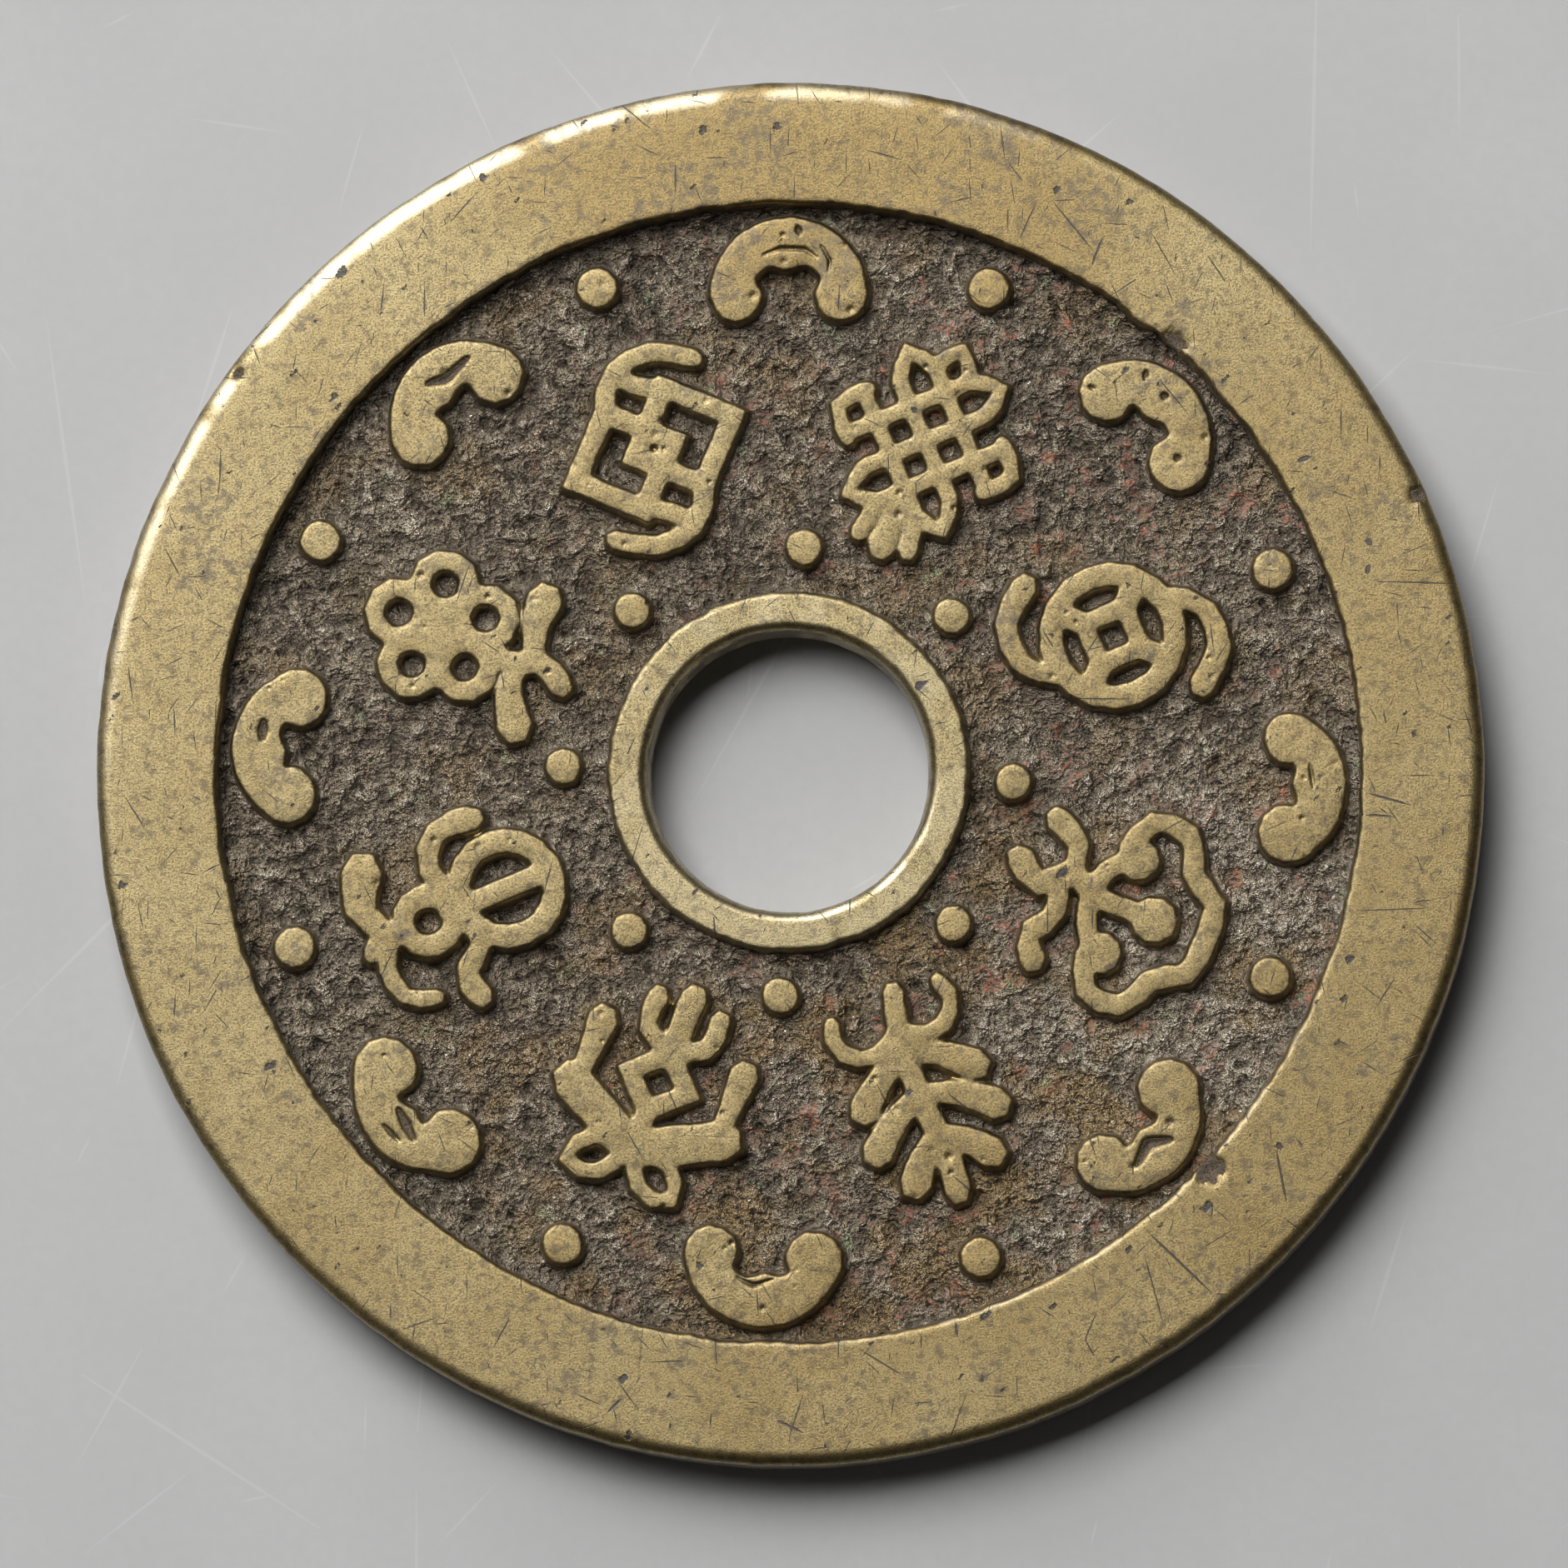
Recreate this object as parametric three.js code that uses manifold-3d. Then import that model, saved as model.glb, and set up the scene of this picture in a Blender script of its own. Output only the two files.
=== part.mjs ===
// A cast brass charm coin with a round hole, lying with its decorated side up.
// Millimetres, +Z up. The origin is at the middle of the face that the coin lies on.
// The coin is one casting. Its named features are separate solids that sit face to face on its field.

import * as THREE from 'three';
import { mergeVertices } from 'three/addons/utils/BufferGeometryUtils.js';
import Module from 'manifold-3d';

const wasm = await Module();
wasm.setup();

// Driving dimensions of the disc
const coinDiameter = 50;
const coinThickness = 2.8;
const holeDiameter = 10;
const rimWidth = 4.4;
const collarWidth = 1.5;
const obverseRecess = 0.55;
const reverseRecess = 0.45;
const castDraft = 0.14;

// Worn edges of the disc: how far each one is rounded, across and down
const outerEdgeAcross = 0.62;
const outerEdgeDown = 0.38;
const lowerEdgeAcross = 0.55;
const lowerEdgeUp = 0.6;
const innerEdgeRound = 0.16;
const holeEdgeAcross = 0.34;
const holeEdgeDown = 0.42;
const holeDraft = 0.12;

// Reliefs: how far they stay below the rim, and how their shoulders are worn
const reliefBelowRim = 0.03;
const shoulderAcross = 0.13;
const shoulderDown = 0.17;

// Studs
const dotDiameter = 1.36;
const outerDotGap = 1.05;
const innerDotGap = 0.93;

// How far each stud stands off its even place on its ring, in degrees, from +X towards +Y
const outerDotBearings = [0, 0, -1, -4, -3, -3, -1, -1];
const innerDotBearings = [-3, -1.5, -4, -1, -1.5, 0, -2, 2];

// Cloud heads, as a fat arc that opens towards the hole
const cloudArcRadius = 1.88;
const cloudCrownWidth = 0.88;
const cloudTongueWidth = 0.86;
const cloudTongueSpread = 24;
const cloudNotchWidth = 0.46;
const cloudRimGap = 0.62;

// Ornaments
const ornamentOuterGap = 3.8;
const ornamentInnerGap = 2;
const strokeWidth = 0.8;

// Fineness of round forms
const discSegments = 72;
const dotSegments = 12;
const roundSteps = 3;
const smallRoundSteps = 2;
const capSteps = 3;
const lobeSteps = 6;
const cloudSteps = 19;

const patternCount = 8;
const patternStep = 360 / patternCount;

// Sizes that follow from the ones above
const outerRadius = coinDiameter / 2;
const rimInnerRadius = outerRadius - rimWidth;
const holeRadius = holeDiameter / 2;
const collarRadius = holeRadius + collarWidth;
const fieldHeight = coinThickness - obverseRecess;
const reliefHeight = obverseRecess - reliefBelowRim;
const outerDotRing = rimInnerRadius - outerDotGap - dotDiameter / 2;
const innerDotRing = collarRadius + innerDotGap + dotDiameter / 2;
const cloudRing = rimInnerRadius - cloudRimGap - cloudCrownWidth - cloudArcRadius;
const ornamentTop = rimInnerRadius - ornamentOuterGap;
const ornamentFoot = collarRadius + ornamentInnerGap;
const ornamentRing = (ornamentTop + ornamentFoot) / 2;
const ornamentReach = (ornamentTop - ornamentFoot) / 2;

// Materials
const fieldBrass = new THREE.MeshStandardMaterial({ color: 0x6b6152, roughness: 0.75, metalness: 0.6 });
const wornBrass = new THREE.MeshStandardMaterial({ color: 0xbfa97c, roughness: 0.42, metalness: 0.9 });

const radians = THREE.MathUtils.degToRad;
const vector = (x, y) => new THREE.Vector2(x, y);

// A quarter round between two points, bulging towards the corner that it softens
function quarterRound(from, corner, to, steps) {
  const points = [];
  for (let i = 0; i <= steps; i++) {
    const turn = (Math.PI / 2) * (i / steps);
    const back = from.clone().sub(corner).multiplyScalar(1 - Math.sin(turn));
    const on = to.clone().sub(corner).multiplyScalar(1 - Math.cos(turn));
    points.push(corner.clone().add(back).add(on));
  }
  return points;
}

// A closed section from its corners. A corner is its radius and height, then how far it is cut back
// along the side that comes in and along the side that goes out.
function roundedSection(corners) {
  const at = corners.map(([radius, height]) => vector(radius, height));
  const section = corners.flatMap(([, , cutIn = 0, cutOut = cutIn], i) => {
    if (cutIn === 0) {
      return [at[i]];
    }
    const before = at[(i + corners.length - 1) % corners.length];
    const after = at[(i + 1) % corners.length];
    const from = at[i].clone().add(before.clone().sub(at[i]).setLength(cutIn));
    const to = at[i].clone().add(after.clone().sub(at[i]).setLength(cutOut));
    return quarterRound(from, at[i], to, cutIn > innerEdgeRound ? roundSteps : smallRoundSteps);
  });
  return [...section, section[0]];
}

// Rim, web and collar, turned about the hole's axis
function coinBlank() {
  const holeMouth = holeRadius + holeDraft;
  const corners = [
    [holeRadius, coinThickness / 2],
    [holeMouth, 0, holeEdgeDown, holeEdgeAcross],
    [collarRadius, 0, innerEdgeRound],
    [collarRadius + castDraft, reverseRecess],
    [rimInnerRadius - castDraft, reverseRecess],
    [rimInnerRadius, 0, innerEdgeRound],
    [outerRadius, 0, lowerEdgeAcross, lowerEdgeUp],
    [outerRadius, coinThickness, outerEdgeDown, outerEdgeAcross],
    [rimInnerRadius, coinThickness, innerEdgeRound],
    [rimInnerRadius - castDraft, fieldHeight],
    [collarRadius + castDraft, fieldHeight],
    [collarRadius, coinThickness, innerEdgeRound],
    [holeMouth, coinThickness, holeEdgeAcross, holeEdgeDown],
  ];
  const geometry = new THREE.LatheGeometry(roundedSection(corners), discSegments);
  return geometry.rotateX(Math.PI / 2);
}

// A stud with a worn flat top, turned about its own axis
function dot() {
  const radius = dotDiameter / 2;
  const foot = vector(radius, 0);
  const edge = vector(radius - castDraft / 2, reliefHeight);
  const below = edge.clone().add(foot.clone().sub(edge).setLength(shoulderDown));
  const inside = vector(edge.x - shoulderAcross, reliefHeight);
  const profile = [vector(0, 0), foot, below, inside, vector(0, reliefHeight)];
  return new THREE.LatheGeometry(profile, dotSegments).rotateX(Math.PI / 2);
}

// Solids and meshes

function solidFrom(vertProperties, triVerts) {
  return new wasm.Manifold(new wasm.Mesh({ numProp: 3, vertProperties, triVerts }));
}

function toSolid(geometry) {
  const bare = geometry.clone();
  bare.deleteAttribute('normal');
  bare.deleteAttribute('uv');
  const merged = mergeVertices(bare);
  const positions = new Float32Array(merged.getAttribute('position').array);
  return solidFrom(positions, new Uint32Array(merged.getIndex().array));
}

function toGeometry(solid) {
  const mesh = solid.getMesh();
  const geometry = new THREE.BufferGeometry();
  geometry.setAttribute('position', new THREE.BufferAttribute(new Float32Array(mesh.vertProperties), 3));
  geometry.setIndex(new THREE.BufferAttribute(new Uint32Array(mesh.triVerts), 1));
  geometry.computeVertexNormals();
  return geometry;
}

// A flat outline raised to the relief's height with a worn shoulder, ending below the field
function raise(shape) {
  const geometry = new THREE.ExtrudeGeometry(shape, {
    depth: reliefHeight,
    bevelEnabled: true,
    bevelThickness: shoulderDown,
    bevelSize: shoulderAcross,
    bevelOffset: -shoulderAcross,
    bevelSegments: 1,
    curveSegments: capSteps,
  });
  return toSolid(geometry.translate(0, 0, -shoulderDown));
}

// The raised forms joined into one relief and cut off flat at the field
function relief(solids) {
  const joined = solids.reduce((all, solid) => all.add(solid));
  const { vertProperties, triVerts } = joined.getMesh();
  const whole = solidFrom(vertProperties, triVerts);
  const reach = 2 * outerRadius;
  const below = new THREE.BoxGeometry(reach, reach, reach).translate(0, 0, -reach / 2);
  return toGeometry(whole.subtract(toSolid(below)));
}

// Outlines

// Points half way round an end, from one side of a stroke to the other
function endCap(centre, side, steps) {
  const points = [];
  for (let i = 1; i < steps; i++) {
    points.push(side.clone().rotateAround(vector(0, 0), -Math.PI * (i / steps)).add(centre));
  }
  return points;
}

// The outline of a band along a line. The widths are functions of the way along it, from 0 to 1.
function bandShape(line, steps, leftWidth, rightWidth, capStepCount = capSteps) {
  const left = [];
  const right = [];
  for (let i = 0; i <= steps; i++) {
    const way = i / steps;
    const centre = line.getPointAt(way);
    const tangent = line.getTangentAt(way);
    const across = vector(-tangent.y, tangent.x);
    left.push(centre.clone().addScaledVector(across, leftWidth(way)));
    right.unshift(centre.clone().addScaledVector(across, -rightWidth(way)));
  }
  const start = line.getPointAt(0);
  const end = line.getPointAt(1);
  const startSide = right[right.length - 1].clone().sub(start);
  const endSide = left[left.length - 1].clone().sub(end);
  return new THREE.Shape([
    ...left, ...endCap(end, endSide, capStepCount),
    ...right, ...endCap(start, startSide, capStepCount),
  ]);
}

// The eight cloud heads. Bearing is how far one stands off its even place and turn is how far it leans,
// in degrees. Each end has the arc's angle from the crown and the radius of its lobe.
const clouds = [
  { name: 'cloud_right', bearing: -2, turn: 5, spans: [61, 69], lobes: [0.83, 0.98] },
  { name: 'cloud_top_right', bearing: -1, turn: 12, spans: [62, 83], lobes: [0.93, 0.98] },
  { name: 'cloud_top', bearing: 0, turn: 2, spans: [88, 90], lobes: [0.84, 0.82] },
  { name: 'cloud_top_left', bearing: -3, turn: 6, spans: [62, 77], lobes: [0.96, 0.95] },
  { name: 'cloud_left', bearing: -3, turn: 8, spans: [57, 80], lobes: [0.96, 0.96] },
  { name: 'cloud_bottom_left', bearing: -3, turn: 0, spans: [66, 68], lobes: [1.06, 1.06] },
  { name: 'cloud_bottom', bearing: -3, turn: 5, spans: [74, 88], lobes: [0.95, 0.87] },
  { name: 'cloud_bottom_right', bearing: -1, turn: -1, spans: [73, 62], lobes: [1.02, 0.93] },
];

// A cloud head's outline: an arc about the origin with its crown on +X, a lobe at each end, and a
// rounded tongue under the crown that points to the middle
function cloudShape({ spans, lobes }) {
  const [spanOn, spanBack] = spans.map(radians);
  const [lobeOn, lobeBack] = lobes;
  const arc = new THREE.EllipseCurve(0, 0, cloudArcRadius, cloudArcRadius, -spanBack, spanOn);
  const fromCrown = (way) => (spanOn + spanBack) * way - spanBack;
  const lobeWidth = (way) => {
    const angle = fromCrown(way);
    const [span, lobe] = angle < 0 ? [spanBack, lobeBack] : [spanOn, lobeOn];
    const toEnd = cloudArcRadius * (span - Math.abs(angle));
    return Math.sqrt(Math.max(0, lobe * lobe - toEnd * toEnd));
  };
  const tongueWidth = (way) => {
    const off = THREE.MathUtils.radToDeg(fromCrown(way)) / cloudTongueSpread;
    return cloudNotchWidth + (cloudTongueWidth - cloudNotchWidth) * Math.exp(-off * off);
  };
  const inner = (way) => Math.max(tongueWidth(way), lobeWidth(way));
  const outer = (way) => Math.max(cloudCrownWidth, lobeWidth(way));
  return bandShape(arc, cloudSteps, inner, outer, lobeSteps);
}

// Ornament drawing: ten units are the ornament's reach, and a width of 1 is one stroke
const unit = ornamentReach / 10;
const at = (x, y) => vector(x, y).multiplyScalar(unit);
const mirrored = (points) => points.map(([x, y]) => [-x, y]);

function stroke(points, startWidth = 1, endWidth = startWidth, steps = 2 * (points.length - 1)) {
  const placed = points.map(([x, y]) => at(x, y));
  const line = placed.length === 2 ? new THREE.LineCurve(...placed) : new THREE.SplineCurve(placed);
  const half = (way) => THREE.MathUtils.lerp(startWidth, endWidth, way) * strokeWidth / 2;
  return raise(bandShape(line, placed.length === 2 ? 1 : steps, half, half));
}

const turned = (points) => points.map(([x, y]) => [-x, -y]);
const bothSides = (points, ...widths) => [stroke(points, ...widths), stroke(mirrored(points), ...widths)];
const bothEnds = (points, ...widths) => [stroke(points, ...widths), stroke(turned(points), ...widths)];

// A closed band between an outline and its own hole
function frame(outer, inner) {
  const shape = new THREE.Shape(outer);
  shape.holes.push(new THREE.Path(inner));
  return raise(shape);
}

// Points round a circle, or corners of a regular polygon
function around(x, y, radius, count, firstAngle = 0) {
  return Array.from({ length: count }, (_, i) => {
    const angle = radians(firstAngle + (360 * i) / count);
    return at(x, y).add(vector(Math.cos(angle), Math.sin(angle)).multiplyScalar(radius));
  });
}

function disc(x, y, radius, sides = 12) {
  return raise(new THREE.Shape(around(x, y, radius * unit, sides)));
}

function ring(x, y, radius, sides = 16, width = 1) {
  const half = width * strokeWidth / 2;
  const middle = radius * unit;
  return frame(around(x, y, middle + half, sides), around(x, y, middle - half, sides));
}

// A square band standing on its corner or lying on its side. Its radius runs to a corner's middle.
function squareFrame(x, y, radius, firstAngle, width = 1) {
  const toCorner = (width * strokeWidth / 2) * Math.SQRT2;
  const middle = radius * unit;
  return frame(around(x, y, middle + toCorner, 4, firstAngle), around(x, y, middle - toCorner, 4, firstAngle));
}

// Two interlocked lozenges with ribbons
function lozengePair() {
  return [
    squareFrame(-2.8, 0, 4.6, 0),
    squareFrame(2.8, 0, 4.6, 0),
    ...bothEnds([[-2.8, 4.6], [-1, 7.4], [2.8, 8], [6.2, 6]], 1, 0.9),
    ...bothEnds([[2.8, 4.4], [0.6, 5.8], [-1, 7.4]], 0.9),
  ];
}

// A round coin with a square hole, tied with a ribbon
function ringCoin() {
  const spokes = [[1, 1], [-1, 1], [-1, -1], [1, -1]].map(([x, y]) => (
    stroke([[1.8 * x, 1.8 * y], [3.6 * x, 3.6 * y]], 1.1)
  ));
  return [
    ring(0, 0, 5.4, 18, 1.1),
    squareFrame(0, 0, 2.7, 45, 0.9),
    ...spokes,
    ...bothEnds([[-1.4, 5.6], [0.6, 8.2], [4.4, 8.2], [7, 5.4]], 0.9, 1.2),
  ];
}

// A five-petalled blossom on a twig
function plumBlossom() {
  const petals = [90, 162, 234, 306, 18].map((angle) => {
    const along = vector(Math.cos(radians(angle)), Math.sin(radians(angle)));
    return ring(3.95 * along.x, 3.95 * along.y + 2.2, 2.15, 10, 0.95);
  });
  return [
    ...petals,
    disc(0, 2.2, 2, 10),
    stroke([[0.2, -1], [-0.4, -4.6], [0.6, -7], [-0.6, -9.4]], 1, 1.15),
    stroke([[0.3, -6.6], [3, -5.4], [5.8, -5.2]], 0.8, 1.7),
    stroke([[-0.2, -5.2], [-3, -5.4], [-5.4, -7]], 0.8, 1.7),
  ];
}

// A ruyi head on its waving stem
function ruyiHead() {
  return [
    ...bothSides([[0, 8.6], [3.2, 8.2], [4.8, 5.6], [7.8, 4.2], [8, 0.8], [4.8, -0.6]], 1.1, 1),
    disc(4.4, 0.6, 1.9, 10),
    disc(-4.4, 0.6, 1.9, 10),
    disc(0, 3.8, 2.1, 10),
    stroke([[0, 3.6], [0, -2]], 1),
    ...bothSides([[0, -2], [2.4, -1.6], [4.4, 0]], 1, 0.9),
    stroke([[0, -2], [-1.2, -4.4], [0.8, -6.6], [-0.6, -9]], 1, 1.3),
    stroke([[0, -5], [3, -4.4], [5.2, -5.8], [7.2, -4.6]], 0.9, 1.2),
    stroke([[-0.6, -4.4], [-3.4, -4.6], [-5, -7.2]], 0.9, 1.2),
  ];
}

// A ribbed gourd with its leaf, its tendril and the ribbon at its waist
function gourd() {
  return [
    ring(0, 3.3, 2.2, 14, 1.05),
    ring(0, -4, 4.2, 18, 1.1),
    stroke([[0, 0.2], [0, -8.2]], 1),
    stroke([[0, -0.2], [0, 1.2]], 1.3),
    stroke([[0, 5.4], [0.4, 7.2], [-0.8, 9]], 1, 0.9),
    stroke([[0.4, 7], [3.2, 8.4], [6.2, 7]], 1, 1.9),
    stroke([[0, 6.8], [-2.6, 8.2], [-5.4, 7.6], [-6.4, 5.2]], 0.9, 0.8),
    stroke([[0.8, 0.4], [4.4, 1.6], [7, -0.4], [6.8, -3.6]], 0.9, 1.2),
    stroke([[-0.8, 0.2], [-3.6, -0.2], [-5.4, 2], [-7.8, 1.6]], 0.9, 1.2),
  ];
}

// An endless knot of crossing cords, with loops at its corners, its cord and a tassel
function endlessKnot() {
  const middle = 0.6;
  const reach = 4;
  const bars = [-2.3, 0, 2.3].flatMap((shift) => [
    stroke([[shift - reach, middle + shift + reach], [shift + reach, middle + shift - reach]], 0.8),
    stroke([[-shift - reach, middle + shift - reach], [-shift + reach, middle + shift + reach]], 0.8),
  ]);
  return [
    ...bars,
    ...bothSides([[1.7, 6.9], [4.4, 7.3], [4, 4.6]], 0.8),
    ...bothSides([[6.3, 2.9], [8.2, 0.6], [6.3, -1.7]], 0.8),
    ...bothSides([[1.7, -5.7], [4.4, -6.1], [4, -3.4]], 0.8),
    stroke([[-1.7, 6.9], [0, 9.2], [1.7, 6.9]], 0.8),
    stroke([[0, -4], [0, -9.4]], 0.9, 1.3),
    ...bothSides([[1.7, -5.7], [2.3, -8.9]], 0.8, 0.9),
  ];
}

// A stone chime hung by a bow, with a lozenge and tassels under it
function stoneChime() {
  return [
    ...bothSides([[0, 5], [2.2, 8.2], [5, 7.8], [3.6, 5.2], [0, 5]], 0.8),
    stroke([[-7.2, 1.4], [0, 5]], 1.8),
    stroke([[7.2, 1.4], [0, 5]], 1.8),
    stroke([[0, 5], [0, 1.4]], 1),
    squareFrame(0, -1.2, 2.7, 0, 0.95),
    stroke([[0, -3.6], [0, -9.2]], 1.1, 1.3),
    ...bothSides([[0, -4], [2.8, -5.4], [2.9, -8.2]], 0.9, 1),
    ...bothSides([[6.6, 1], [6.6, -4.6]], 0.8, 1.4),
  ];
}

// An artemisia leaf with lobed edges and a ribbon
function artemisiaLeaf() {
  const lobes = [[5.6, 3.6], [1.8, 5.6], [-2, 5.2]].flatMap(([height, reach]) => (
    bothSides([[0, height - 2], [reach * 0.55, height - 0.6], [reach, height + 1.4]], 0.9, 1.5)
  ));
  return [
    stroke([[0.4, 9], [0, 5], [0.3, 0], [0, -5], [-1, -9.2]], 1.2, 1),
    ...lobes,
    ...bothSides([[-0.2, -5.8], [3, -4.6], [5.4, -6.4], [5, -8.6]], 0.9, 0.8),
  ];
}

const ornaments = [
  ['ring_coin', ringCoin],
  ['endless_knot', endlessKnot],
  ['lozenge_pair', lozengePair],
  ['plum_blossom', plumBlossom],
  ['gourd', gourd],
  ['stone_chime', stoneChime],
  ['artemisia_leaf', artemisiaLeaf],
  ['ruyi_head', ruyiHead],
];

// Assembly

const coin = new THREE.Group();

function addMesh(name, geometry, material) {
  const mesh = new THREE.Mesh(geometry, material);
  mesh.name = name;
  coin.add(mesh);
  return mesh;
}

// Puts a relief on the field at a bearing, with its +X turned outwards
function seat(mesh, ringRadius, bearing, turn = 0) {
  const angle = radians(bearing);
  mesh.position.set(ringRadius * Math.cos(angle), ringRadius * Math.sin(angle), fieldHeight);
  mesh.rotation.z = radians(bearing + turn);
}

addMesh('coin_blank', coinBlank(), fieldBrass);

clouds.forEach(({ name, bearing, turn, ...form }, i) => {
  const geometry = relief([raise(cloudShape(form))]);
  seat(addMesh(name, geometry, wornBrass), cloudRing, i * patternStep + bearing, turn);
});

outerDotBearings.forEach((offset, i) => {
  seat(addMesh(`outer_dot_${i + 1}`, dot(), wornBrass), outerDotRing, (i + 0.5) * patternStep + offset);
});

innerDotBearings.forEach((offset, i) => {
  seat(addMesh(`inner_dot_${i + 1}`, dot(), wornBrass), innerDotRing, i * patternStep + offset);
});

ornaments.forEach(([name, draw], i) => {
  const bearing = (i + 0.5) * patternStep;
  seat(addMesh(name, relief(draw()), wornBrass), ornamentRing, bearing, -90);
});

export default coin;
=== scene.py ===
import itertools
import math

import bmesh
import bpy
import numpy as np
from mathutils import Matrix, Vector


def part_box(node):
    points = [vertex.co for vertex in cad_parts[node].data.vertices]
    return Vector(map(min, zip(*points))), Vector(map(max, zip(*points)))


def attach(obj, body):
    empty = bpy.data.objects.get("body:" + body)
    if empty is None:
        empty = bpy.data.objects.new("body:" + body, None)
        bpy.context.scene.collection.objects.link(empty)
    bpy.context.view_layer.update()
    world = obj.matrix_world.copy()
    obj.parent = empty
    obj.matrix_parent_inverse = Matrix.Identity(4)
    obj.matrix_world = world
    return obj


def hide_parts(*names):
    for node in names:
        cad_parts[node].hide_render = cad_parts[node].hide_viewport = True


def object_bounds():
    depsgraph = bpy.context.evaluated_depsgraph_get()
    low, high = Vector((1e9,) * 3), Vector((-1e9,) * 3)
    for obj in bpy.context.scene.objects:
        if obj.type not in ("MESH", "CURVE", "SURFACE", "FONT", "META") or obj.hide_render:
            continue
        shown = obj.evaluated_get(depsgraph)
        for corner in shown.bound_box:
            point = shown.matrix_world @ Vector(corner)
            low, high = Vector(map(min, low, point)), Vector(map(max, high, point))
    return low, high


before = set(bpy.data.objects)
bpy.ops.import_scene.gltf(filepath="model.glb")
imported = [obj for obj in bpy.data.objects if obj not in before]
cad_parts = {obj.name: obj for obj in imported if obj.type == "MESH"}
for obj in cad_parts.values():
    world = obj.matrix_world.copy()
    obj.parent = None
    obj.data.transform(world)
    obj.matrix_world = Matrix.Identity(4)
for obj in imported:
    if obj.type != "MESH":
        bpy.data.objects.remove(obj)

cad_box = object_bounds()

# Sizes are in millimetres unless a comment says metres. Blender works in metres, so pieces are
# scaled when they are made.
MM = 0.001

# Sizes read from the frame

BLANK = "coin_blank"

# Corners are on one level within this height, and on the outer side within this distance
SAME_LEVEL = 0.002
SAME_SIDE = 0.01

# Levels nearer than this to the bottom belong to rounded edges, and to the middle, to the hole
EDGE_ZONE = 0.2


def node_points(node):
    """The corners of a CAD node, in millimetres."""
    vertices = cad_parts[node].data.vertices
    points = np.zeros(len(vertices) * 3)
    vertices.foreach_get("co", points)
    return points.reshape(-1, 3) / MM


def blank_radii(height):
    """The radii at which the blank has corners at this height, smallest first."""
    points = node_points(BLANK)
    level = points[abs(points[:, 2] - height) < SAME_LEVEL]
    return np.unique(np.round(np.hypot(level[:, 0], level[:, 1]), 2))


THICKNESS = cad_box[1].z / MM
OUTER = cad_box[1].x / MM
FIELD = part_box("cloud_top")[0].z / MM
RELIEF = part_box("cloud_top")[1].z / MM - FIELD
LOWER_LEVELS = {round(float(z), 3) for z in node_points(BLANK)[:, 2]
                if EDGE_ZONE < z < THICKNESS / 2 - EDGE_ZONE}
REVERSE_FIELD = min(z for z in LOWER_LEVELS if len(blank_radii(z)) == 2)
COLLAR_FOOT, RIM_FOOT = blank_radii(FIELD)[[0, -1]]
TOP_RADII = blank_radii(THICKNESS)
HOLE = blank_radii(THICKNESS / 2)[0]

# The worn edges of the disc

CORNERS = node_points(BLANK)
SIDE = CORNERS[np.hypot(CORNERS[:, 0], CORNERS[:, 1]) > OUTER - SAME_SIDE][:, 2]
OUTER_ACROSS = OUTER - TOP_RADII[-1]
OUTER_DOWN = THICKNESS - SIDE.max()
LOWER_ACROSS = OUTER - blank_radii(0)[-1]
LOWER_UP = SIDE.min()

# The rounds and the draft of the hole, and the rounds and the draft of the walls at the fields
HOLE_ACROSS = 0.34
HOLE_DOWN = 0.42
HOLE_DRAFT = 0.12
EDGE_ROUND = 0.16
CAST_DRAFT = 0.14
RIM_INNER = RIM_FOOT + CAST_DRAFT
COLLAR = COLLAR_FOOT - CAST_DRAFT

# How wide and how deep the rim's top bows down before its outer edge, where it is most rubbed
CROWN_ACROSS = 1.7
CROWN_DOWN = 0.06

# The share of the solid's outer rounding that is left to the edge itself, beside the bow
EDGE_SHARE = 0.86

# How far hidden edges reach into the next piece
TUCK = 0.22

# Fineness: the steps of the grids in millimetres, and the steps round the turned parts
FIELD_STEP = 0.115
RELIEF_STEP = 0.05
RIM_TURNS = 1130
COLLAR_TURNS = 560

# Random fields

rng = np.random.default_rng(20)
SHUFFLE = rng.permutation(4096)
SLOPES = rng.normal(size=(4096, 3))
SLOPES /= np.linalg.norm(SLOPES, axis=1)[:, None]


def noise(points, size, seed=0):
    """A smooth random field from about -1 to 1, whose bumps are about this many millimetres across."""
    spot = points / size + 31.7 * (seed + 1)
    cell = np.floor(spot).astype(np.int64)
    part = spot - cell
    ease = part ** 3 * (part * (part * 6 - 15) + 10)
    total = np.zeros(len(points))
    for corner in itertools.product((0, 1), repeat=3):
        ix, iy, iz = (cell + corner).T
        slope = SLOPES[SHUFFLE[(SHUFFLE[(SHUFFLE[ix & 4095] + iy) & 4095] + iz) & 4095]]
        weight = np.prod(np.where(corner, ease, 1 - ease), axis=1)
        total += weight * np.sum(slope * (part - corner), axis=1)
    return total * 1.6


TURN = np.array([[0.8, 0.6, 0.0], [-0.48, 0.64, 0.6], [0.36, -0.48, 0.8]])


def grain(points, size, octaves, seed=0, fade=0.5):
    """Noise upon finer noise, each layer turned so that no grid shows."""
    total = np.zeros(len(points))
    weight = 1.0
    for layer in range(octaves):
        total += weight * noise(points, size, seed + layer)
        points = points @ TURN.T
        size *= 0.5
        weight *= fade
    return total


def layered(points, layers, seed=0):
    """Grain of several sizes. A layer is its height, the width of its bumps, its octaves and its seed."""
    return sum(height * grain(points, width, octaves, seed + own)
               for height, width, octaves, own in layers)


def ease_between(value, low, high):
    """0 below low, 1 above high and a smooth step between."""
    part = np.clip((value - low) / (high - low), 0, 1)
    return part * part * (3 - 2 * part)


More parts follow.
